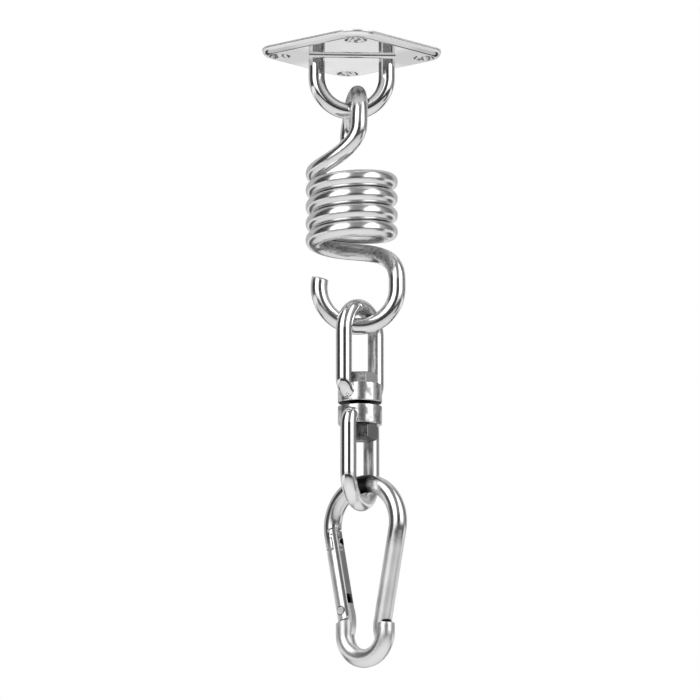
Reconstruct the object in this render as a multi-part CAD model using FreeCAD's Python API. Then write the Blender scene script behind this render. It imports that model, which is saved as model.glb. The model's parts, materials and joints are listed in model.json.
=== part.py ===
import FreeCAD, Part
import math
import os

# Hammock hanging hook in polished stainless steel: a ceiling plate with a welded staple,
# an extension spring, an eye-and-eye swivel and a sprung snap hook, hung one from the next.
# Millimetres, +Z up. The origin is the centre of the plate's top face, which meets the ceiling.

# Ceiling plate, turned so that its corners point along X and Y
plate_side = 57.5
plate_thick = 3.0
plate_corner = 10.0
plate_edge = 2.7
plate_back_edge = 0.15
plate_turn = 45.0
screw_circle = 59.0
screw_hole = 5.2
screw_head = 9.0
screw_sink = 1.9

# Staple: a bent round bar on a flat foot
staple_bar = 6.6
staple_width = 35.2
staple_reach = 22.8
foot_thick = 1.2
foot_depth = 9.0
foot_edge = 1.0

# Extension spring: one wire, with a hook at each end
spring_wire = 6.8
spring_outside = 37.4
spring_gap = 0.12
spring_turns = 4.25
top_hook_outside = 37.8
low_hook_outside = 38.4
top_rise = 17.2
low_rise = 17.9
low_straight = 3.5
hook_yaw = 5.0
top_overrun = 4.0
low_overrun = 13.0
top_hook_x = 0.75
low_hook_x = 2.6

# Swivel: two bows with hubs, on a bolt
swivel_x = 3.3
eye_bar = 6.5
eye_width = 28.5
eye_length = 35.5
eye_bend = 5.0
upper_eye_turn = 51.0
lower_eye_turn = 62.0
hub_outside = 17.8
hub_height = 7.6
hub_edge = 0.5
hub_gap = 1.3
bolt_diameter = 8.0
bolt_head = 4.4
bolt_end = 0.4
nut_height = 5.9
hex_flats = 12.6
hex_chamfer = 0.7
hex_corner = 0.6
head_turn = 45.0
nut_turn = -8.0

# Snap hook: a pear of round bar, with a thicker bow at its foot
snap_x = 5.4
snap_turn = -41.0
snap_length = 77.7
snap_bar = 7.2
bow_bar = 7.5
crown_outside = 40.2
bow_outside = 27.8
snap_taper = 11.5
lip_height = 3.7
lip_edge = 0.8
blend_angle = 35.0

# Gate: heights are measured along it, up from its rivet
rivet_height = 23.4
rivet_diameter = 3.2
rivet_set = 0.1
rivet_groove = 0.25
groove_depth = 0.8
gate_bar = 7.2
gate_heel = 3.8
gate_shoulder = 25.0
gate_tip = 33.6
tip_round = 1.2
slot_width = 3.2
slot_wall = 0.8
lower_slot_top = 6.6
upper_slot_foot = 24.7
upper_slot_width = 2.0
flat_depth = 0.7
tongue_back = 2.35
tongue_front = 3.1
tongue_swell = 3.5
tongue_top = 2.6
tongue_foot = 10.0
tongue_root = 1.8
nose_split = 0.5
head_split = 1.6
head_top = 30.0
key_foot = 26.9
key_top = 29.5
key_reach = 3.9
tip_lean = 0.5
pin_diameter = 1.0
pin_height = 31.5
pin_offset = 1.5
pin_set = 0.2
bore_diameter = 2.8
bore_top = 20.0
plunger_top = 10.0
plunger_edge = 0.5
return_wire = 0.4
return_turns = 6

# Clearances
link_gap = 0.4
slant_gap = 1.2
hook_gap = 0.95
turning_fit = 0.08
thread_fit = 0.02
nut_play = 0.15
slot_play = 0.15
split_play = 0.4
shoulder_play = 1.1
tip_play = 0.5
heel_play = 0.45
pin_play = 0.4
plunger_fit = 0.1
plunger_play = 0.15

line_limit = 1e-6
level_limit = 1e-4

Vec = FreeCAD.Vector
centre = Vec(0, 0, 0)
along_x = Vec(1, 0, 0)
along_y = Vec(0, 1, 0)
along_z = Vec(0, 0, 1)


def tangent_arc(start, corner, end):
    # The arc from start to end whose end tangents meet at corner
    middle = (start + end) * 0.5
    rise = corner - middle
    if rise.Length < line_limit:
        return Part.LineSegment(start, end).toShape()
    half_chord = (end - start).Length / 2
    half_turn = math.atan2(rise.Length, half_chord)
    sagitta = half_chord * math.tan(half_turn / 2)
    crest = middle + rise * (sagitta / rise.Length)
    return Part.Arc(start, crest, end).toShape()


def biarc(start, start_way, end, end_way):
    # Two arcs that leave start and reach end along the given ways, tangent where they join
    chord = end - start
    bend = 2 * (1 - start_way.dot(end_way))
    lean = 2 * chord.dot(start_way + end_way)
    span = chord.dot(chord)
    if bend < line_limit:
        reach = span / lean
    else:
        reach = (math.sqrt(lean ** 2 + 4 * bend * span) - lean) / (2 * bend)
    first = start + start_way * reach
    last = end - end_way * reach
    joint = (first + last) * 0.5
    return [tangent_arc(start, first, joint), tangent_arc(joint, last, end)]


def bent_bar(stations, diameter):
    # A round bar through stations, each a point and the way the bar runs there
    edges = []
    for (start, start_way), (end, end_way) in zip(stations, stations[1:]):
        edges += biarc(start, start_way, end, end_way)
    point, way = stations[0]
    section = Part.Wire(Part.makeCircle(diameter / 2, point, way))
    return Part.Wire(edges).makePipe(Part.Face(section))


def ring_station(middle, across, radius, angle, sense):
    # A station on an upright ring, at an angle up from the direction across
    turn = math.radians(angle)
    outward = across * math.cos(turn) + along_z * math.sin(turn)
    forward = along_z * math.cos(turn) - across * math.sin(turn)
    return middle + outward * radius, forward * sense


def coil_station(radius, pitch, top, start_angle, turn):
    # A station on a right-handed coil, some turns down from its top
    angle = math.radians(start_angle) - 2 * math.pi * turn
    point = Vec(radius * math.cos(angle), radius * math.sin(angle), top - pitch * turn)
    circle = 2 * math.pi * radius
    way = Vec(circle * math.sin(angle), -circle * math.cos(angle), -pitch)
    return point, way.normalize()


def heading(angle):
    return Vec(math.cos(math.radians(angle)), math.sin(math.radians(angle)), 0)


def edges_at(shape, height):
    # The edges that lie level at a height
    found = []
    for edge in shape.Edges:
        box = edge.BoundBox
        if abs(box.ZMin - height) < level_limit and abs(box.ZMax - height) < level_limit:
            found.append(edge)
    return found


def block(x_min, x_max, y_half, z_min, z_max):
    corner = Vec(x_min, -y_half, z_min)
    return Part.makeBox(x_max - x_min, 2 * y_half, z_max - z_min, corner)


def upright_rod(diameter, z_min, z_max):
    return Part.makeCylinder(diameter / 2, z_max - z_min, Vec(0, 0, z_min))


def cross_rod(diameter, half_length, x, z):
    # A rod along Y, centred on Y = 0
    return Part.makeCylinder(diameter / 2, 2 * half_length, Vec(x, -half_length, z), along_y)


def base_plate():
    half = plate_side / 2
    plate = Part.makeBox(plate_side, plate_side, plate_thick, Vec(-half, -half, -plate_thick))
    upright = [edge for edge in plate.Edges if edge.BoundBox.ZLength > plate_thick / 2]
    plate = plate.makeFillet(plate_corner, upright)
    plate = plate.makeFillet(plate_edge, edges_at(plate, -plate_thick))
    plate = plate.makeFillet(plate_back_edge, edges_at(plate, 0))
    plate.rotate(centre, along_z, plate_turn)
    for place in range(4):
        spot = heading(90 * place) * (screw_circle / 2)
        under = spot - along_z * plate_thick
        plate = plate.cut(Part.makeCylinder(screw_hole / 2, plate_thick, under))
        plate = plate.cut(Part.makeCone(screw_head / 2, screw_hole / 2, screw_sink, under))
    return plate


def eye_staple():
    half = (staple_width - staple_bar) / 2
    bend_height = staple_z + half
    stations = [
        (Vec(-half, 0, foot_z), -along_z),
        (Vec(-half, 0, bend_height), -along_z),
        (Vec(0, 0, staple_z), along_x),
        (Vec(half, 0, bend_height), along_z),
        (Vec(half, 0, foot_z), along_z),
    ]
    foot = block(-staple_width / 2, staple_width / 2, foot_depth / 2, foot_z, -plate_thick)
    foot = foot.makeFillet(foot_edge, edges_at(foot, foot_z))
    return bent_bar(stations, staple_bar).fuse(foot).removeSplitter()


def coil_spring():
    far = heading(90 + hook_yaw)
    top_hook = Vec(top_hook_x, 0, top_hook_z)
    low_hook = Vec(low_hook_x, 0, low_hook_z)
    stations = []
    for angle in (-top_overrun, 90, 180):
        stations.append(ring_station(top_hook, far, top_hook_radius, angle, 1))
    quarters = round(4 * spring_turns)
    for quarter in range(quarters + 1):
        turn = spring_turns * quarter / quarters
        stations.append(coil_station(coil_radius, coil_pitch, coil_top, 180, turn))
    stations.append((low_hook + along_x * low_hook_radius + along_z * low_straight, -along_z))
    for angle in (0, -90, -180, -180 - low_overrun):
        stations.append(ring_station(low_hook, along_x, low_hook_radius, angle, -1))
    return bent_bar(stations, spring_wire)


def swivel_eye():
    # Hub centred on the origin, bow above it in the XZ plane
    half = (eye_width - eye_bar) / 2
    crown = eye_length - half
    stations = [
        (Vec(eye_bend - half, 0, 0), -along_x),
        (Vec(-half, 0, eye_bend), along_z),
        (Vec(-half, 0, crown), along_z),
        (Vec(0, 0, eye_length), along_x),
        (Vec(half, 0, crown), -along_z),
        (Vec(half, 0, eye_bend), -along_z),
        (Vec(half - eye_bend, 0, 0), -along_x),
    ]
    hub = upright_rod(hub_outside, -hub_height / 2, hub_height / 2)
    hub = hub.makeFillet(hub_edge, edges_at(hub, -hub_height / 2) + edges_at(hub, hub_height / 2))
    bore = upright_rod(bolt_diameter + 2 * turning_fit, -hub_height, hub_height)
    return bent_bar(stations, eye_bar).fuse(hub).cut(bore)


def swivel_upper_eye():
    eye = swivel_eye()
    eye.rotate(centre, along_z, upper_eye_turn)
    eye.translate(Vec(swivel_x, 0, upper_hub_z))
    return eye


def swivel_lower_eye():
    eye = swivel_eye()
    eye.rotate(centre, along_x, 180)
    eye.rotate(centre, along_z, lower_eye_turn)
    eye.translate(Vec(swivel_x, 0, lower_hub_z))
    return eye


def hexagon(height, chamfer_both):
    # A hexagon prism from z = 0 up, its edges rounded and its corners turned off to a cone
    corner = hex_flats / math.sqrt(3)
    points = [heading(60 * place) * corner for place in range(7)]
    prism = Part.Face(Part.makePolygon(points)).extrude(along_z * height)
    upright = [edge for edge in prism.Edges if edge.BoundBox.ZLength > height / 2]
    prism = prism.makeFillet(hex_corner, upright)
    blank = upright_rod(2 * corner, 0, height)
    ends = edges_at(blank, height)
    if chamfer_both:
        ends = ends + edges_at(blank, 0)
    return prism.common(blank.makeChamfer(hex_chamfer, ends))


def swivel_bolt():
    head_seat = upper_hub_z + hub_height / 2
    shank = upright_rod(bolt_diameter, nut_z - bolt_end, head_seat)
    shank = shank.makeChamfer(hex_chamfer, edges_at(shank, nut_z - bolt_end))
    head = hexagon(bolt_head, False)
    head.rotate(centre, along_z, head_turn)
    head.translate(Vec(0, 0, head_seat))
    bolt = shank.fuse(head).removeSplitter()
    bolt.translate(Vec(swivel_x, 0, 0))
    return bolt


def swivel_nut():
    bore = upright_rod(bolt_diameter + 2 * thread_fit, 0, nut_height)
    nut = hexagon(nut_height, True).cut(bore)
    nut.rotate(centre, along_z, nut_turn)
    nut.translate(Vec(swivel_x, 0, nut_z))
    return nut


def on_gate(shape):
    # From the gate's own frame, rivet at the origin, to the snap hook's plane
    placed = shape.copy()
    placed.rotate(centre, along_y, -snap_taper)
    placed.translate(Vec(-rivet_x, 0, rivet_z))
    return placed


def in_chain(shape):
    # From the snap hook's plane to its place on the lower eye
    placed = shape.copy()
    placed.rotate(centre, along_z, snap_turn)
    placed.translate(Vec(snap_x, 0, 0))
    return placed


def gate_point(height):
    lean = math.radians(snap_taper)
    return Vec(-rivet_x - height * math.sin(lean), 0, rivet_z + height * math.cos(lean))


def hook_tongue():
    # The cam at the foot of the gate: round at the back, square towards the plunger, running out into the bow
    bend = tongue_back * math.sqrt(0.5)
    back = Vec(-tongue_back, 0, 0)
    crest = Vec(0, 0, tongue_back)
    brow = Vec(tongue_front, 0, tongue_top)
    toe = Vec(tongue_root, 0, -tongue_foot)
    heel = Vec(-tongue_back, 0, -tongue_foot)
    outline = [
        Part.LineSegment(heel, back),
        Part.Arc(back, Vec(-bend, 0, bend), crest),
        Part.LineSegment(crest, brow),
        Part.Arc(brow, Vec(tongue_swell, 0, 0), toe),
        Part.LineSegment(toe, heel),
    ]
    half = slot_width / 2 - slot_play
    face = Part.Face(Part.Wire([side.toShape() for side in outline]))
    tongue = face.extrude(along_y * 2 * half)
    tongue.translate(Vec(0, -half, 0))
    return tongue


def nose_relief():
    # What is cut from the inner side of the nose, where the fork of the gate lies
    top = gate_tip + tip_play
    foot = nose_end - snap_bar
    above = block(nose_split - split_play, snap_bar, snap_bar, head_top, top)
    return above.fuse(block(head_split - split_play, snap_bar, snap_bar, foot, head_top))


def nose_key():
    # The blade of the nose, which stands through the fork, under its pin, and shows on the inner side
    half = upper_slot_width / 2 - slot_play
    web = block(0, gate_bar / 2 - flat_depth, half, nose_end, pin_height - pin_diameter / 2 - pin_play)
    return web.fuse(block(0, key_reach, half, key_foot, key_top))


def hook_body():
    lean = math.radians(snap_taper)
    down_left = Vec(math.sin(lean), 0, -math.cos(lean))
    down_right = Vec(-math.sin(lean), 0, -math.cos(lean))
    crown_mid = Vec(0, 0, crown_z)
    bow_mid = Vec(0, 0, bow_z)
    lip = bow_z + lip_height
    spine = [
        (gate_point(nose_end), -down_left),
        ring_station(crown_mid, along_x, crown_radius, 180 + snap_taper, -1),
        ring_station(crown_mid, along_x, crown_radius, 90, -1),
        ring_station(crown_mid, along_x, crown_radius, -snap_taper, -1),
        (Vec(arm_x(lip), 0, lip), down_right),
        ring_station(bow_mid, along_x, bow_radius, -blend_angle, -1),
    ]
    foot = [
        (Vec(bow_radius, 0, lip), -along_z),
        ring_station(bow_mid, along_x, bow_radius, 0, -1),
        ring_station(bow_mid, along_x, bow_radius, -90, -1),
        ring_station(bow_mid, along_x, bow_radius, -180, -1),
        (Vec(-bow_radius, 0, rivet_z), along_z),
    ]
    bow = bent_bar(foot, bow_bar)
    bow = bow.makeFillet(lip_edge, edges_at(bow, lip))
    seat = block(-bow_bar, bow_bar, bow_bar, -gate_heel - heel_play, gate_heel)
    bow = bow.cut(on_gate(seat)).fuse(on_gate(hook_tongue()))
    hole = cross_rod(rivet_diameter + 2 * turning_fit, snap_bar, 0, 0)
    arm = bent_bar(spine, snap_bar).cut(on_gate(nose_relief())).fuse(on_gate(nose_key()))
    return in_chain(bow.cut(on_gate(hole)).fuse(arm))


def heel_point(turn):
    # A point on the round heel of the gate, at a turn below level
    return Vec(gate_heel * math.cos(turn), 0, -gate_heel * math.sin(turn))


def hook_gate():
    # A round rod with a flat inner side, its top forked over the nose and its foot forked over the tongue
    tip_low = gate_tip - tip_round
    catch = head_top + split_play
    inner = gate_bar / 2 - flat_depth
    outer_tip = nose_split + tip_lean
    corners = [
        Vec(0, 0, -gate_heel),
        Vec(-gate_heel, 0, -gate_heel),
        Vec(-gate_heel, 0, gate_shoulder),
        Vec(head_split, 0, gate_shoulder),
        Vec(head_split, 0, catch),
        Vec(nose_split, 0, catch),
        Vec(outer_tip, 0, tip_low),
    ]
    outline = [Part.LineSegment(a, b).toShape() for a, b in zip(corners, corners[1:])]
    mid_tip = Vec((outer_tip + inner) / 2, 0, gate_tip)
    outline.append(Part.Arc(corners[-1], mid_tip, Vec(inner, 0, tip_low)).toShape())
    heel_turn = math.acos(inner / gate_heel)
    heel_start = heel_point(heel_turn)
    outline.append(Part.LineSegment(Vec(inner, 0, tip_low), heel_start).toShape())
    heel_mid = heel_point((heel_turn + math.pi / 2) / 2)
    outline.append(Part.Arc(heel_start, heel_mid, corners[0]).toShape())
    slab = Part.Face(Part.Wire(outline)).extrude(along_y * 2 * gate_bar)
    slab.translate(Vec(0, -gate_bar, 0))
    gate = upright_rod(gate_bar, -2 * gate_heel, 2 * gate_tip).common(slab)
    core = block(-gate_bar, gate_bar, gate_bar / 2 - groove_depth, -gate_bar, gate_bar)
    cuts = [
        block(slot_wall - gate_bar / 2, gate_bar, slot_width / 2, -2 * gate_heel, lower_slot_top),
        block(nose_split, gate_bar, upper_slot_width / 2, upper_slot_foot, 2 * gate_tip),
        upright_rod(bore_diameter, 0, bore_top),
        cross_rod(rivet_diameter, gate_bar, 0, 0),
        cross_rod(rivet_diameter + 2 * rivet_groove, gate_bar, 0, 0).cut(core),
        cross_rod(pin_diameter, gate_bar, pin_offset, pin_height),
    ]
    return in_chain(on_gate(gate.cut(cuts)))


def gate_rivet():
    return in_chain(on_gate(cross_rod(rivet_diameter, gate_bar / 2 - rivet_set, 0, 0)))


def gate_latch_pin():
    reach = math.sqrt((gate_bar / 2) ** 2 - pin_offset ** 2) - pin_set
    return in_chain(on_gate(cross_rod(pin_diameter, reach, pin_offset, pin_height)))


def gate_plunger():
    diameter = bore_diameter - 2 * plunger_fit
    foot = tongue_top + plunger_play
    rod = upright_rod(diameter, foot, plunger_top)
    return in_chain(on_gate(rod.makeChamfer(plunger_edge, edges_at(rod, foot))))


def gate_spring():
    # A small compression coil between the plunger and the top of its bore
    radius = bore_diameter / 2 - plunger_fit - return_wire / 2
    top = bore_top - return_wire / 2
    pitch = (top - plunger_top - return_wire / 2) / return_turns
    halves = 2 * return_turns
    stations = [coil_station(radius, pitch, top, 0, half / 2) for half in range(halves + 1)]
    return in_chain(on_gate(bent_bar(stations, return_wire)))


def arm_x(height):
    # How far out the straight arms of the snap hook stand at a height
    lean = math.radians(snap_taper)
    start = crown_z - crown_radius * math.sin(lean)
    return crown_radius * math.cos(lean) - (start - height) * math.tan(lean)


# Heights down the chain, each link hung from the one above
foot_z = -plate_thick - foot_thick
staple_z = -plate_thick - staple_reach
top_hook_radius = (top_hook_outside - spring_wire) / 2
low_hook_radius = (low_hook_outside - spring_wire) / 2
coil_radius = (spring_outside - spring_wire) / 2
coil_pitch = spring_wire + spring_gap
top_hook_z = staple_z + (staple_bar + spring_wire) / 2 + link_gap - top_hook_radius
coil_top = top_hook_z - top_rise
low_hook_z = coil_top - spring_turns * coil_pitch - low_rise
upper_crown_z = low_hook_z - low_hook_radius + (spring_wire + eye_bar) / 2 + slant_gap
upper_hub_z = upper_crown_z - eye_length
lower_hub_z = upper_hub_z - hub_height - hub_gap
nut_z = lower_hub_z - hub_height / 2 - nut_play - nut_height
lower_crown_z = lower_hub_z - eye_length

# The snap hook's rings and the rivet of its gate, in its own plane
crown_radius = (crown_outside - snap_bar) / 2
bow_radius = (bow_outside - bow_bar) / 2
crown_top = lower_crown_z + (eye_bar + snap_bar) / 2 + hook_gap
crown_z = crown_top - crown_radius
bow_z = crown_top + snap_bar / 2 - snap_length + bow_outside / 2
rivet_z = crown_top + snap_bar / 2 - snap_length + rivet_height
rivet_x = arm_x(rivet_z)
nose_end = gate_shoulder + shoulder_play

pieces = [
    base_plate,
    eye_staple,
    coil_spring,
    swivel_upper_eye,
    swivel_lower_eye,
    swivel_bolt,
    swivel_nut,
    hook_body,
    hook_gate,
    gate_rivet,
    gate_latch_pin,
    gate_plunger,
    gate_spring,
]

os.makedirs("parts", exist_ok=True)
for piece in pieces:
    piece().exportStep(f"parts/{piece.__name__}.step")
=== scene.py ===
import bpy
import bmesh
import json
import math
from mathutils import Matrix, Vector


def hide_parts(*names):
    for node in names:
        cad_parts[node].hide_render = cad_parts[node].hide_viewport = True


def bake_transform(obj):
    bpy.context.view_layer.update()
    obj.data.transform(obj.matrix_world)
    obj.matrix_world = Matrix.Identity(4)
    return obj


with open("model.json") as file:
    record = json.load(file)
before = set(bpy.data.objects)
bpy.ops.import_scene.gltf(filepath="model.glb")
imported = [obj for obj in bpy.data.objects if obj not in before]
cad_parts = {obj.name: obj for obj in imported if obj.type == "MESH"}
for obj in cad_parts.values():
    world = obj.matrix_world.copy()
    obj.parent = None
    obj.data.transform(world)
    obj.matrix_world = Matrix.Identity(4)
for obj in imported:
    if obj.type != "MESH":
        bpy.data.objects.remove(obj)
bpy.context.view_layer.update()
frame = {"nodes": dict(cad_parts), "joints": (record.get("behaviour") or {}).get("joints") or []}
nodes = frame["nodes"]
joints = {joint["name"]: joint for joint in frame["joints"]}
print("frame loaded:", len(nodes), "nodes")

mm = 0.001
up = Vector((0, 0, 1))
swivelX = joints["swivel_spin"]["pos_m"][0] / mm
rivet = Vector([round(c / mm, 2) for c in joints["gate_hinge"]["pos_m"]])  # to a hundredth of a millimetre
rivetWay = Vector(joints["gate_hinge"]["axis"])
gateRise = Vector(joints["plunger_slide"]["axis"])
gateInside = rivetWay.cross(gateRise)  # the way that the gate's flat looks


def towards(azimuth, elevation):
    # azimuth 0 is the photograph's side of the object, positive to its right
    a, e = math.radians(azimuth), math.radians(elevation)
    return Vector((math.sin(a) * math.cos(e), -math.cos(a) * math.cos(e), math.sin(e)))


# colours and nodes

def linearColour(hexColour):
    # sRGB hex to linear RGBA
    parts = [int(hexColour[i:i + 2], 16) / 255 for i in (1, 3, 5)]
    return [p / 12.92 if p <= 0.04045 else ((p + 0.055) / 1.055) ** 2.4 for p in parts] + [1.0]


def addNode(tree, kind, settings=None, inputs=None):
    # one node with its settings; an input gets a constant, a socket, or the node that feeds it
    node = tree.nodes.new("ShaderNode" + kind)
    for name, value in (settings or {}).items():
        setattr(node, name, value)
    inUse = [socket for socket in node.inputs if socket.enabled]
    for key, value in (inputs or {}).items():
        socket = inUse[key] if isinstance(key, int) else node.inputs[key]
        if isinstance(value, bpy.types.Node):
            value = next(output for output in value.outputs if output.enabled)
        if isinstance(value, bpy.types.NodeSocket):
            tree.links.new(value, socket)
        else:
            socket.default_value = value
    return node


def newMaterial(name):
    material = bpy.data.materials.new(name)
    material.use_nodes = True
    material.node_tree.nodes.clear()
    return material


# zones: where a steel looks differently finished, placed and toned from the photograph
# what is said to have made a zone or a finish is a likely cause, not a known one; some zones are painted shade,
# a painted highlight or a painted reflection, and their comments say so
# each function measures the surface, and gives each measure with the level where the zone starts
# and the level where it is full

grain = {"cloudDetail": 3.0, "cloudRange": (0.3, 0.7), "hairDetail": 2.0, "spotDetail": 2.0}


def between(measure, low, high, fade):
    return [(measure, low * mm, (low + fade) * mm), (measure, high * mm, (high - fade) * mm)]


def withinRadius(tree, offset, zone):
    reach = addNode(tree, "VectorMath", {"operation": "LENGTH"}, {0: offset})
    return [(reach, (zone["radius"] + zone["rimFade"]) * mm, zone["radius"] * mm)]


def fromPoint(tree, place, zone):
    # the way from the zone's point to the surface
    return addNode(tree, "VectorMath", {"operation": "SUBTRACT"}, {
        0: place.outputs["Object"], 1: Vector(zone["point"]) * mm})


def betweenHeights(tree, place, zone):
    axes = addNode(tree, "SeparateXYZ", inputs={"Vector": place.outputs["Object"]})
    return between(axes.outputs["Z"], zone["low"], zone["high"], zone["fade"])


def facingMiddle(tree, place, zone):
    # faces that look at an upright line inside a link, where the zones that use this paint shade
    axes = addNode(tree, "SeparateXYZ", inputs={"Vector": place.outputs["Object"]})
    level = addNode(tree, "Clamp", inputs={
        "Value": axes.outputs["Z"], "Min": zone["lineLow"] * mm, "Max": zone["lineHigh"] * mm})
    middle = addNode(tree, "CombineXYZ", inputs={"X": zone["lineX"] * mm, "Z": level})
    inward = addNode(tree, "VectorMath", {"operation": "SUBTRACT"}, {0: middle, 1: place.outputs["Object"]})
    unit = addNode(tree, "VectorMath", {"operation": "NORMALIZE"}, {0: inward})
    facing = addNode(tree, "VectorMath", {"operation": "DOT_PRODUCT"}, {
        0: unit, 1: place.outputs["Normal"]})
    return [(facing, *zone["facing"])]


def facingWay(tree, place, zone):
    facing = addNode(tree, "VectorMath", {"operation": "DOT_PRODUCT"}, {
        0: place.outputs["Normal"], 1: zone["way"]})
    return [(facing, *zone["facing"])]


def nearPoint(tree, place, zone):
    # inside a ball round a point, squeezed by its stretch
    scaled = addNode(tree, "VectorMath", {"operation": "MULTIPLY"}, {
        0: fromPoint(tree, place, zone), 1: zone["stretch"]})
    return withinRadius(tree, scaled, zone)


def nearAxis(tree, place, zone):
    # within a radius of an axis through a point
    away = addNode(tree, "VectorMath", {"operation": "CROSS_PRODUCT"}, {
        0: fromPoint(tree, place, zone), 1: zone["axis"]})
    return withinRadius(tree, away, zone)


def alongAxis(tree, place, zone):
    # between two distances from a point, along an axis through it
    reach = addNode(tree, "VectorMath", {"operation": "DOT_PRODUCT"}, {
        0: fromPoint(tree, place, zone), 1: zone["axis"]})
    return between(reach, zone["near"], zone["far"], zone["fade"])


def nearHoles(tree, place, zone):
    # round each of the plate's four holes, which folding X and Y lays on one
    axes = addNode(tree, "SeparateXYZ", inputs={"Vector": place.outputs["Object"]})
    sides = [addNode(tree, "Math", {"operation": "ABSOLUTE"}, {0: axes.outputs[axis]}) for axis in "XY"]
    along = addNode(tree, "Math", {"operation": "MAXIMUM"}, {0: sides[0], 1: sides[1]})
    across = addNode(tree, "Math", {"operation": "MINIMUM"}, {0: sides[0], 1: sides[1]})
    folded = addNode(tree, "CombineXYZ", inputs={"X": along, "Y": across})
    offset = addNode(tree, "VectorMath", {"operation": "SUBTRACT"}, {
        0: folded, 1: (zone["ring"] * mm, 0, 0)})
    return withinRadius(tree, offset, zone)


def inSpots(tree, place, zone):
    # spots, drawn out into streaks by their stretch: worn mottling on hubs and in holes, and spotted painted
    # shade inside the links and coil
    drawn = addNode(tree, "VectorMath", {"operation": "MULTIPLY"}, {
        0: place.outputs["Object"], 1: zone["spotStretch"]})
    spots = addNode(tree, "TexNoise", inputs={
        "Vector": drawn, "Scale": 1 / (zone["spotMm"] * mm), "Detail": grain["spotDetail"]})
    return [(spots, *zone["spots"])]


def zoneShare(tree, place, zone):
    # 1 where all of the zone's measures are reached, 0 outside it
    measures = [measure for where in zone["where"] for measure in where(tree, place, zone)]
    rises = [addNode(tree, "MapRange", inputs={"Value": value, "From Min": none, "From Max": full})
             for value, none, full in measures]
    share = rises[0]
    for rise in rises[1:]:
        share = addNode(tree, "Math", {"operation": "MULTIPLY"}, {0: share, 1: rise})
    return share


# steels: all are taken to be 304 stainless, and differ in how they were finished and in the shade and
# highlights painted on them

def steelFinish(look):
    # a worked skin: broad waviness in tone and gloss, hairlines in the relief, then the zones in turn
    # real polishing lines are under 0.05 mm apart, too fine to show, so the hairlines are drawn coarser
    material = newMaterial(look["name"])
    tree = material.node_tree
    place = addNode(tree, "TexCoord")
    here = place.outputs["Object"]
    cloud = addNode(tree, "TexNoise", inputs={
        "Vector": here, "Scale": 1 / (look["cloudMm"] * mm), "Detail": grain["cloudDetail"]})
    least, most = grain["cloudRange"]
    wave = addNode(tree, "MapRange", inputs={"Value": cloud, "From Min": least, "From Max": most})
    darker, lighter = [linearColour(tone) for tone in look["tones"]]
    smoother, rougher = look["rough"]
    tone = addNode(tree, "Mix", {"data_type": "RGBA"}, {0: wave, 1: darker, 2: lighter})
    gloss = addNode(tree, "Mix", {"data_type": "FLOAT"}, {0: wave, 1: smoother, 2: rougher})
    for zone in look["zones"]:
        share = zoneShare(tree, place, zone)
        zoneTone = linearColour(zone["tone"])
        tone = addNode(tree, "Mix", {"data_type": "RGBA"}, {0: share, 1: tone, 2: zoneTone})
        gloss = addNode(tree, "Mix", {"data_type": "FLOAT"}, {0: share, 1: gloss, 2: zone["rough"]})
    stretch = addNode(tree, "Mapping", inputs={"Vector": here, "Scale": look["hairStretch"]})
    hair = addNode(tree, "TexNoise", inputs={
        "Vector": stretch, "Scale": 1 / (look["hairMm"] * mm), "Detail": grain["hairDetail"]})
    relief = addNode(tree, "Bump", inputs={
        "Height": hair, "Strength": look["hairStrength"], "Distance": look["hairDepthMm"] * mm})
    shade = addNode(tree, "BsdfPrincipled", inputs={
        "Base Color": tone, "Metallic": 1.0, "Roughness": gloss, "Normal": relief})
    addNode(tree, "OutputMaterial", inputs={"Surface": shade})
    return material


def giveSteel(piece, steel):
    piece.data.materials.clear()
    piece.data.materials.append(steel)


# zones that several pieces share

evenly = (1, 1, 1)
band = {"where": (betweenHeights,)}
patch = {"where": (nearPoint,), "stretch": evenly}
shadedLinkInside = {"where": (facingMiddle, betweenHeights), "fade": 1.0, "rough": 0.40}  # inner faces, rougher and painted darker: painted shade
streaks = {  # painted shade on the inside faces, broken into darker streaks and spots
    "where": (inSpots, facingMiddle, betweenHeights),
    "spotMm": 0.9, "spotStretch": (1, 1, 0.2), "spots": (0.45, 0.62), "tone": "#9C9C9C",
}
hub = {  # turned, so softer than the polished bow
    "where": (nearAxis, betweenHeights), "point": (swivelX, 0, 0), "axis": up,
    "radius": 9.0, "rimFade": 0.3, "fade": 0.2, "tone": "#E8E8E8", "rough": 0.26,
}
handled = {  # dull mottling on a hub
    "where": (inSpots, nearAxis, betweenHeights),
    "spotMm": 3.0, "spotStretch": (1, 1, 0.6), "spots": (0.46, 0.62), "tone": "#A0A0A0", "rough": 0.34,
}
hubGapShade = {  # painted shade on the faces between the two hubs, nearly black
    **band, "low": -147.36, "high": -145.86, "fade": 0.05, "tone": "#121212", "rough": 0.5,
}
gateSlotShade = {  # painted shade on the walls of the gate's slot, nearly black
    **patch, "point": (-2.3, 6.7, -224.8), "radius": 2.2, "rimFade": 0.2, "tone": "#0C0C0C", "rough": 0.5,
}


# base plate: punched sheet, mirror polished, so it shows the studio almost sharp

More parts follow.
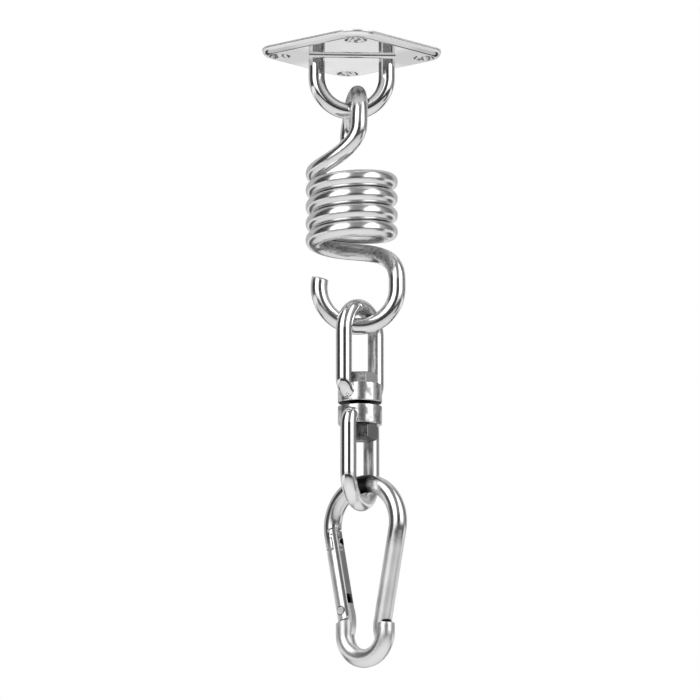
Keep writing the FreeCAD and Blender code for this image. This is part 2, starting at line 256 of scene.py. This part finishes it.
plateCorner = {**patch, "radius": 13, "rimFade": 6, "rough": 0.12}  # a little darker than the middle
plateRim = {**band, "high": 0.4, "fade": 0.3, "tone": "#FCFCFC"}  # brushed, so softer
plateHole = {"where": (nearHoles,), "ring": 29.5, "radius": 4.6, "rimFade": 0.1}
plateLook = {
    "name": "mirrorPolishedPlate", "tones": ("#E4E4E4", "#ECECEC"), "cloudMm": 14, "rough": (0.06, 0.13),
    "hairMm": 0.4, "hairStretch": (0.15, 1, 1), "hairStrength": 0.06, "hairDepthMm": 0.02,
    "zones": [
        {**plateCorner, "point": (-30, 0, -3), "tone": "#D4D4D4"},
        {**plateCorner, "point": (30, 0, -3), "tone": "#D0D0D0"},
        {**plateRim, "low": -2.1, "rough": 0.24},
        {**plateRim, "low": -0.7, "rough": 0.5},
        {**plateHole, "tone": "#E2E2E2", "rough": 0.12},
        {**plateHole, "where": (inSpots, nearHoles), "spotMm": 1.6, "spotStretch": evenly,
         "spots": (0.52, 0.58), "tone": "#868686", "rough": 0.3},  # specks in the countersinks
        {**plateHole, "radius": 2.9, "tone": "#E4E4E4", "rough": 0.2},
    ],
}


# staple and swivel eyes: bent bar, mirror polished outside, so dark and white lines run sharp along it; their
# inner faces are rougher and carry painted shade

barPolish = {
    "tones": ("#E6E6E6", "#EEEEEE"), "cloudMm": 9, "rough": (0.05, 0.10),
    "hairMm": 0.5, "hairStretch": (1, 1, 0.25), "hairStrength": 0.08, "hairDepthMm": 0.02,
}
stapleLook = {
    **barPolish, "name": "mirrorPolishedBar",
    "zones": [
        # painted shade on the staple's inner faces
        {**shadedLinkInside, "lineX": 0.0, "lineLow": -11.5, "lineHigh": -4.5, "facing": (0.45, 0.75),
         "low": -27, "high": -4.6, "tone": "#666666", "rough": 0.15},
    ],
}
# painted shade on the upper eye's inner faces
upperInsideShade = {**shadedLinkInside, "lineX": swivelX, "lineLow": -142.2, "lineHigh": -117.7, "facing": (0.3, 0.7),
               "low": -139, "high": -105}
upperHub = {**hub, "low": -146.2, "high": -138.2}
upperEyeLook = {
    **barPolish, "name": "mirrorPolishedUpperEye",
    "zones": [
        {**shadedLinkInside, "lineX": swivelX, "lineLow": -117.8, "lineHigh": -117.7, "facing": (0.0, 0.35),
         "low": -116, "high": -104, "tone": "#8A8A8A"},  # painted shade round the spring's hook
        {**upperInsideShade, "tone": "#D4D4D4"},
        {**upperInsideShade, **streaks},
        upperHub,
        {**upperHub, **handled},
        hubGapShade,
    ],
}
# painted shade on the lower eye's inner faces
lowerInsideShade = {**shadedLinkInside, "lineX": swivelX, "lineLow": -175.6, "lineHigh": -151.1, "facing": (0.3, 0.7),
               "low": -177, "high": -154}
lowerHub = {**hub, "low": -155.1, "high": -147.0}
lowerEyeLook = {
    **barPolish, "name": "mirrorPolishedLowerEye",
    "zones": [
        {**lowerInsideShade, "tone": "#D4D4D4"},
        {**lowerInsideShade, **streaks},
        {**band, "low": -192, "high": -177, "fade": 2.0, "tone": "#F2F2F2", "rough": 0.26},  # bottom of the bow
        lowerHub,
        {**lowerHub, **handled},
        hubGapShade,
    ],
}


# bolt, nut and the gate's small parts: cold formed and tumbled, so they are dull and mottled
# the mottling's real grain is about a third of a millimetre, too fine to show, so it is drawn coarser

hexGrain = {
    "cloudMm": 1.1, "rough": (0.26, 0.42),
    "hairMm": 0.3, "hairStretch": evenly, "hairDepthMm": 0.03,
}
hexFlatHighlight = {  # painted highlight: the flats that face the right lamp are painted lighter
    "where": (facingWay,), "way": towards(50, 0), "facing": (0.75, 0.85), "rough": 0.36,
}
hexLook = {
    **hexGrain, "name": "dullHexSteel", "tones": ("#4E4E4E", "#A4A4A4"), "hairStrength": 0.25,
    "zones": [{**hexFlatHighlight, "tone": "#D4D4D4"}, hubGapShade, gateSlotShade],
}
nutLook = {
    **hexGrain, "name": "darkHexNut", "tones": ("#2C2C2C", "#7A7A7A"), "hairStrength": 0.30,
    "zones": [{**hexFlatHighlight, "tone": "#9C9C9C"}],
}


# spring: drawn wire, wound and then polished, so its lines are a little soft

# painted shade on the coil's inner faces
coilInsideShade = {**shadedLinkInside, "lineX": 0.0, "lineLow": -79, "lineHigh": -78, "facing": (0.4, 0.8),
              "low": -95, "high": -76}
springLook = {
    "name": "polishedSpringWire", "tones": ("#E4E4E4", "#ECECEC"), "cloudMm": 7, "rough": (0.13, 0.20),
    "hairMm": 0.5, "hairStretch": evenly, "hairStrength": 0.10, "hairDepthMm": 0.02,
    "zones": [
        {**band, "low": -25, "high": -10, "fade": 5.0, "tone": "#9A9A9A", "rough": 0.26},  # on the staple
        {**band, "low": -88, "high": -46, "fade": 4.0, "tone": "#EAEAEA", "rough": 0.21},  # the coil
        {**coilInsideShade, "tone": "#C6C6C6"},
        {**coilInsideShade, **streaks, "spotStretch": (0.12, 1, 1), "tone": "#949494"},
    ],
}


# snap hook: bent bar, belt ground to a satin, so it shows broad soft bands, sharper on its upper bend

hookLook = {
    "name": "satinHook", "tones": ("#F0F0F0", "#F6F6F6"), "cloudMm": 8, "rough": (0.36, 0.44),
    "hairMm": 0.35, "hairStretch": (1, 1, 0.2), "hairStrength": 0.12, "hairDepthMm": 0.02,
    "zones": [
        {**band, "low": -260, "high": -234, "fade": 3.0, "tone": "#ECECEC", "rough": 0.31},  # the bow
        {**band, "low": -206, "high": -170, "fade": 6.0, "tone": "#E0E0E0", "rough": 0.19},  # the upper bend
        {**patch, "point": (5.9, 0, -178.8), "radius": 4.6, "rimFade": 1.6,
         "tone": "#303030", "rough": 0.35},  # painted shade where the eye bears on the hook
        {**patch, "point": (-3.42, 7.66, -201.05), "stretch": (1, 1, 0.75), "radius": 1.05, "rimFade": 0.05,
         "tone": "#0C0C0C", "rough": 0.5},  # painted shade on the end of the nose inside the gate's fork
        {**patch, "point": (14.0, -9.5, -234.9), "stretch": (1, 1, 4), "radius": 2.4, "rimFade": 0.6,
         "tone": "#3C3C3C", "rough": 0.4},  # painted shade at the step of the bow's lip
        gateSlotShade,
    ],
}


# gate: turned bar with a milled flat, belt polished along its length, so it shows lengthwise stripes; a darker
# stripe and the flat's white edge are painted on

gateFlat = {"where": (facingWay,), "way": gateInside, "facing": (0.98, 0.99)}
gateLook = {
    "name": "polishedGate", "tones": ("#ECECEC", "#F4F4F4"), "cloudMm": 6, "rough": (0.28, 0.35),
    "hairMm": 0.35, "hairStretch": (1, 1, 0.2), "hairStrength": 0.10, "hairDepthMm": 0.02,
    "zones": [
        {"where": (facingWay,), "way": towards(3, 6), "facing": (0.965, 0.985),
         "tone": "#BCBCBC", "rough": 0.2},  # a smoother stripe, painted darker: a painted reflection of the dark gap in front
        {**gateFlat, "tone": "#D4D4D4", "rough": 0.3},
        {**gateFlat, "where": (alongAxis, facingWay), "point": rivet, "axis": rivetWay,
         "near": -2.4, "far": -1.3, "fade": 0.2,
         "tone": "#FFFFFF", "rough": 0.9},  # painted highlight along the edge of the flat, matt white
        {"where": (nearAxis,), "point": rivet, "axis": rivetWay, "radius": 1.9, "rimFade": 0.1,
         "tone": "#505050", "rough": 0.5},  # ring round the rivet
        gateSlotShade,
    ],
}


# rivet: its ends are hammered over, so they are matt

rivetLook = {
    "name": "hammeredRivet", "tones": ("#ECECEC", "#F4F4F4"), "cloudMm": 2, "rough": (0.45, 0.60),
    "hairMm": 0.4, "hairStretch": evenly, "hairStrength": 0.15, "hairDepthMm": 0.03,
    "zones": [],
}

looks = (
    plateLook, stapleLook, springLook, upperEyeLook, lowerEyeLook,
    hexLook, nutLook, hookLook, gateLook, rivetLook,
)
steels = {look["name"]: steelFinish(look) for look in looks}
nodeSteel = {
    "base_plate": "mirrorPolishedPlate", "eye_staple": "mirrorPolishedBar",
    "swivel_upper_eye": "mirrorPolishedUpperEye", "swivel_lower_eye": "mirrorPolishedLowerEye",
    "swivel_bolt": "dullHexSteel", "swivel_nut": "darkHexNut",
    "hook_body": "satinHook", "hook_gate": "polishedGate", "gate_rivet": "hammeredRivet",
    "gate_latch_pin": "polishedGate", "gate_plunger": "dullHexSteel",
}
for node, steel in nodeSteel.items():
    giveSteel(nodes[node], steels[steel])
print("steels made:", len(steels))


# spring, in millimetres: one bent wire, modelled along a curve

springWire = {
    "diameter": 6.8, "coilRadius": 15.3, "pitch": 6.92, "turns": 4.25, "coilTop": -51.4,
    "topHook": -34.2, "topHookX": 0.75, "topHookRadius": 15.5, "topYaw": 5.0, "topOverrun": 4,
    "topSkew": (0, 0.9, 1.3, 0.6, 0),
    "lowHook": -98.71, "lowHookX": 2.6, "lowHookRadius": 15.8, "lowStraight": 3.5, "lowOverrun": 13,
    "endRound": 0.5, "ringSides": 10, "spanSteps": 14,
}
bending = {"straight": 0.001, "weld": 0.01, "endSegments": 3}


def ringStation(middle, across, radius, angle, sense):
    turn = math.radians(angle)
    outward = across * math.cos(turn) + up * math.sin(turn)
    forward = up * math.cos(turn) - across * math.sin(turn)
    return middle + outward * radius, forward * sense


def coilStations(wire):
    # four to a turn, each a place on the wire and the way it runs there
    radius = wire["coilRadius"]
    circle = 2 * math.pi * radius
    stations = []
    for quarter in range(round(4 * wire["turns"]) + 1):
        turn = quarter / 4
        angle = math.pi - 2 * math.pi * turn
        height = wire["coilTop"] - wire["pitch"] * turn
        place = Vector((radius * math.cos(angle), radius * math.sin(angle), height))
        way = Vector((circle * math.sin(angle), -circle * math.cos(angle), -wire["pitch"]))
        stations.append((place, way.normalized()))
    return stations


def springStations(wire):
    yaw = math.radians(90 + wire["topYaw"])
    far = Vector((math.cos(yaw), math.sin(yaw), 0))
    topMiddle = Vector((wire["topHookX"], 0, wire["topHook"]))
    topAngles = (-wire["topOverrun"], 45, 90, 135, 180)
    stations = [ringStation(topMiddle, far, wire["topHookRadius"], angle, 1) for angle in topAngles]
    for (place, way), shift in zip(stations, wire["topSkew"]):
        place.x += shift
    stations += coilStations(wire)
    across = Vector((1, 0, 0))
    lowMiddle = Vector((wire["lowHookX"], 0, wire["lowHook"]))
    stations.append((lowMiddle + across * wire["lowHookRadius"] + up * wire["lowStraight"], -up))
    lowAngles = (0, -45, -90, -135, -180 - wire["lowOverrun"])
    stations += [ringStation(lowMiddle, across, wire["lowHookRadius"], angle, -1) for angle in lowAngles]
    return stations


def wireCurve(name, stations, wire):
    # a Bezier curve of round section, whose handles are as long as each bend needs
    curve = bpy.data.curves.new(name, "CURVE")
    curve.dimensions = "3D"
    curve.bevel_depth = wire["diameter"] / 2 * mm
    curve.bevel_resolution = wire["ringSides"]
    curve.resolution_u = wire["spanSteps"]
    curve.use_fill_caps = True
    spline = curve.splines.new("BEZIER")
    spline.bezier_points.add(len(stations) - 1)
    points = list(spline.bezier_points)
    for point, (place, way) in zip(points, stations):
        point.handle_left_type = point.handle_right_type = "FREE"
        point.co = place * mm
        point.handle_left = point.handle_right = point.co
    for i in range(len(stations) - 1):
        wayOut, wayIn = stations[i][1], stations[i + 1][1]
        chord = (points[i + 1].co - points[i].co).length
        turn = wayOut.angle(wayIn)
        reach = chord / 3
        if turn >= bending["straight"]:  # in radians
            arcRadius = chord / (2 * math.sin(turn / 2))
            reach = arcRadius * 4 / 3 * math.tan(turn / 4)
        points[i].handle_right = points[i].co + wayOut * reach
        points[i + 1].handle_left = points[i + 1].co - wayIn * reach
    return curve


def bendBar(name, stations, wire):
    # the curve made a mesh, with its two cut ends rounded off
    guide = bpy.data.objects.new(name + "Guide", wireCurve(name, stations, wire))
    mesh = bpy.data.meshes.new_from_object(guide)
    bpy.data.objects.remove(guide)
    shape = bmesh.new()
    shape.from_mesh(mesh)
    bmesh.ops.remove_doubles(shape, verts=shape.verts, dist=bending["weld"] * mm)
    capEdges = [e for e in shape.edges if any(len(f.verts) > 4 for f in e.link_faces)]
    bmesh.ops.bevel(shape, geom=capEdges, offset=wire["endRound"] * mm, affect="EDGES",
                    segments=bending["endSegments"], profile=0.5, material=-1)
    bmesh.ops.recalc_face_normals(shape, faces=shape.faces)
    for face in shape.faces:
        face.smooth = True
    shape.to_mesh(mesh)
    shape.free()
    mesh.name = name
    piece = bpy.data.objects.new(name, mesh)
    bpy.context.scene.collection.objects.link(piece)
    return piece


spring = bendBar("springWire", springStations(springWire), springWire)
giveSteel(spring, steels["polishedSpringWire"])
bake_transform(spring)
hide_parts("coil_spring")
print("spring bent:", len(spring.data.polygons), "faces")


# return spring: a small coil inside the gate, pressed shorter by its plunger as the gate opens

returnWire = {
    "diameter": 0.4, "coilRadius": 1.1, "pitch": 1.6, "turns": 6, "coilTop": 19.8,
    "endRound": 0.08, "ringSides": 4, "spanSteps": 8,
}
onGate = Matrix((gateInside, rivetWay, gateRise)).transposed()  # the gate's own axes, from the rivet
returnStations = [(rivet + onGate @ place, onGate @ way) for place, way in coilStations(returnWire)]
returnSpring = bendBar("returnSpring", returnStations, returnWire)
giveSteel(returnSpring, steels["dullHexSteel"])
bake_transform(returnSpring)
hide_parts("gate_spring")
print("return spring wound:", len(returnSpring.data.polygons), "faces")


# studio, in metres: pale floor, white surround, dark and grey cards that draw the lines on the polished bars

studio = {
    "middle": Vector((0, 0, -0.125)), "floorDrop": 1.6, "floorSize": 14, "floorColour": "#F2F2F2",
    "white": (1, 1, 1, 1), "ambient": 0.75,
    "cardRadius": 3.2, "archRadius": 2.2, "arcSteps": 12, "spinSteps": 32,
    "cards": {
        "leftFlag": {"azimuth": (-112, -60), "elevation": (-1, 62), "colour": "#484848"},
        "rightFlag": {"azimuth": (67, 94), "elevation": (-1, 62), "colour": "#B0B0B0"},
        "rightDoor": {"azimuth": (94, 124), "elevation": (-1, 62), "colour": "#7C7C7C"},
        "greyBack": {"azimuth": (124, 248), "elevation": (-4, 62), "colour": "#CCCCCC"},
        "darkBack": {"azimuth": (112, 248), "elevation": (-55, -15), "colour": "#484848"},
        "overhead": {"azimuth": (-180, 180), "elevation": (72, 89), "colour": "#303030"},
        "rightSkirting": {"azimuth": (67, 89), "elevation": (-24, -1), "colour": "#606060"},
        "skirting": {"azimuth": (-60, 67), "elevation": (-12, -1), "colour": "#343434"},
    },
    "arches": {
        "lensGap": {"across": (-12, 26), "over": (-1, 17), "colour": "#484848"},
        "gapAbove": {"across": (-9, 26), "over": (17, 95), "colour": "#909090"},
    },
    "lamps": {"leftSoftbox": -38, "rightSoftbox": 50},
    "lamp": {"elevation": 37, "distance": 2.6, "width": 2.1, "height": 3.2, "glow": 1.08},
}


def mattePaint(name, hexColour):
    # flat emulsion on board: an even colour with no shine
    material = newMaterial(name)
    shade = addNode(material.node_tree, "BsdfDiffuse", inputs={"Color": linearColour(hexColour)})
    addNode(material.node_tree, "OutputMaterial", inputs={"Surface": shade})
    return material


def stageObject(name, shape, hexColour):
    mesh = bpy.data.meshes.new(name)
    shape.to_mesh(mesh)
    shape.free()
    mesh.materials.append(mattePaint(name + "Paint", hexColour))
    made = bpy.data.objects.new(name, mesh)
    bpy.context.scene.collection.objects.link(made)
    return made


def evenSteps(first, last):
    return [first + (last - first) * i / studio["arcSteps"] for i in range(studio["arcSteps"] + 1)]


def spunCard(name, arc, axis, degrees, hexColour):
    # a row of points spun round the studio's middle; only the steel sees it
    shape = bmesh.new()
    row = [shape.verts.new(studio["middle"] + place) for place in arc]
    edges = [shape.edges.new(pair) for pair in zip(row, row[1:])]
    bmesh.ops.spin(shape, geom=row + edges, cent=studio["middle"], axis=axis, angle=math.radians(degrees),
                   steps=studio["spinSteps"])
    made = stageObject(name, shape, hexColour)
    made.visible_camera = False
    made.visible_shadow = False
    made.visible_diffuse = False


def curvedCard(name, card):
    # an upright arc spun round the object
    left, right = card["azimuth"]
    arc = [towards(left, elevation) * studio["cardRadius"] for elevation in evenSteps(*card["elevation"])]
    spunCard(name, arc, up, right - left, card["colour"])


def archCard(name, card):
    # a level arc spun over the top, between the two lamps and in front of them
    low, high = card["over"]
    tilt = Matrix.Rotation(math.radians(-low), 4, "X")
    arc = [tilt @ (towards(azimuth, 0) * studio["archRadius"]) for azimuth in evenSteps(*card["across"])]
    spunCard(name, arc, (-1, 0, 0), high - low, card["colour"])


def paleFloor():
    shape = bmesh.new()
    bmesh.ops.create_grid(shape, x_segments=1, y_segments=1, size=studio["floorSize"] / 2)
    bmesh.ops.translate(shape, verts=shape.verts, vec=studio["middle"] - up * studio["floorDrop"])
    stageObject("paleFloor", shape, studio["floorColour"])


def aimFrom(made, azimuth, elevation, distance, target):
    # stands a lamp or the camera off from its target, looking at it
    back = towards(azimuth, elevation)
    made.location = target + back * distance
    made.rotation_euler = (-back).to_track_quat("-Z", "Y").to_euler()
    bpy.context.scene.collection.objects.link(made)


def softbox(name, azimuth, lamp):
    light = bpy.data.lights.new(name, "AREA")
    light.shape = "RECTANGLE"
    light.size = lamp["width"]
    light.size_y = lamp["height"]
    light.energy = lamp["glow"] * math.pi * lamp["width"] * lamp["height"]
    made = bpy.data.objects.new(name, light)
    aimFrom(made, azimuth, lamp["elevation"], lamp["distance"], studio["middle"])


def whiteSurround():
    # white to the eye and in the steel, a softer level as light
    world = bpy.data.worlds.new("whiteSurround")
    world.use_nodes = True
    tree = world.node_tree
    tree.nodes.clear()
    path = addNode(tree, "LightPath")
    shown = path.outputs["Is Camera Ray"]
    for ray in ("Is Glossy Ray", "Is Transmission Ray"):
        shown = addNode(tree, "Math", {"operation": "MAXIMUM"}, {0: shown, 1: path.outputs[ray]})
    soft = addNode(tree, "Background", inputs={"Color": studio["white"], "Strength": studio["ambient"]})
    white = addNode(tree, "Background", inputs={"Color": studio["white"], "Strength": 1.0})
    mix = addNode(tree, "MixShader", inputs={0: shown, 1: soft, 2: white})
    addNode(tree, "OutputWorld", inputs={"Surface": mix})
    bpy.context.scene.world = world


for cardName, card in studio["cards"].items():
    curvedCard(cardName, card)
for archName, arch in studio["arches"].items():
    archCard(archName, arch)
for lampName, azimuth in studio["lamps"].items():
    softbox(lampName, azimuth, studio["lamp"])
paleFloor()
whiteSurround()
print("studio set")


# camera: a long lens from below, nearly square to the staple

photoCamera = {
    "azimuth": -3.2, "elevation": -10.1, "distance": 2.0, "target": Vector((-0.7, 0, -124.2)),
    "pixelsPerMm": 2.48, "photoSize": 700, "sensor": 36,
}


def placeCamera(view):
    camera = bpy.data.cameras.new("photoCamera")
    camera.sensor_width = view["sensor"]
    camera.lens = view["pixelsPerMm"] / mm * view["distance"] * view["sensor"] / view["photoSize"]
    made = bpy.data.objects.new("photoCamera", camera)
    aimFrom(made, view["azimuth"], view["elevation"], view["distance"], view["target"] * mm)
    bpy.context.scene.camera = made


placeCamera(photoCamera)
bpy.context.scene.view_settings.view_transform = "Standard"
print("camera placed")
